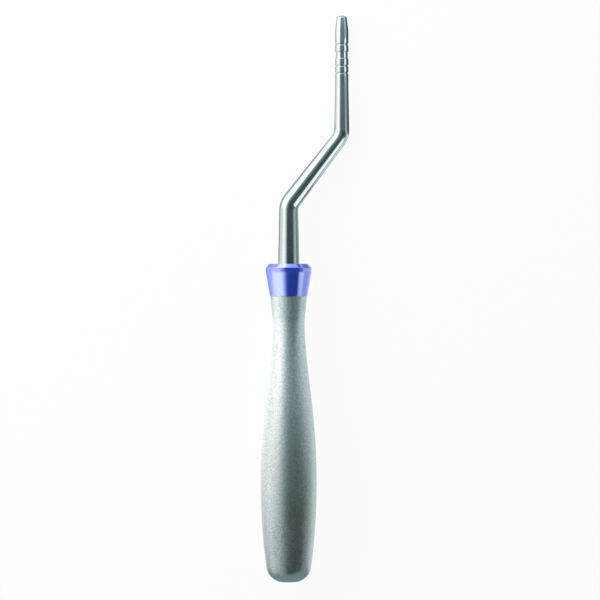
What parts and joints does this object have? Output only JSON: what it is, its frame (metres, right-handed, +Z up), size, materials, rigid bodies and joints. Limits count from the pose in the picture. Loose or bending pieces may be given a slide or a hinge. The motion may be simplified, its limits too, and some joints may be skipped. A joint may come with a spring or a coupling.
{
  "type": "offset bone osteotome",
  "caption": "Hand osteotome with a waisted handle, a colour ring and a twice-bent tapered shaft that ends in a blunt domed tip with depth grooves.",
  "frame": {"origin": "centre of the bottom of the box around the tool, on the surface it lies on", "axes": "+Y along the tool, towards its tip; +Z up; the shaft is offset towards +X and dips to the surface"},
  "size_m": [0.0244, 0.1572, 0.0157],
  "materials": {
    "blasted_steel": "bead-blasted, matt with a fine sparkle",
    "anodised_ring": "turned and anodised blue-violet, satin",
    "polished_steel": "bare stainless steel, machine polished"
  },
  "bodies": {
    "root": {"handle": "blasted_steel", "colour_ring": "anodised_ring", "shaft": "polished_steel"}
  },
  "joints": []
}
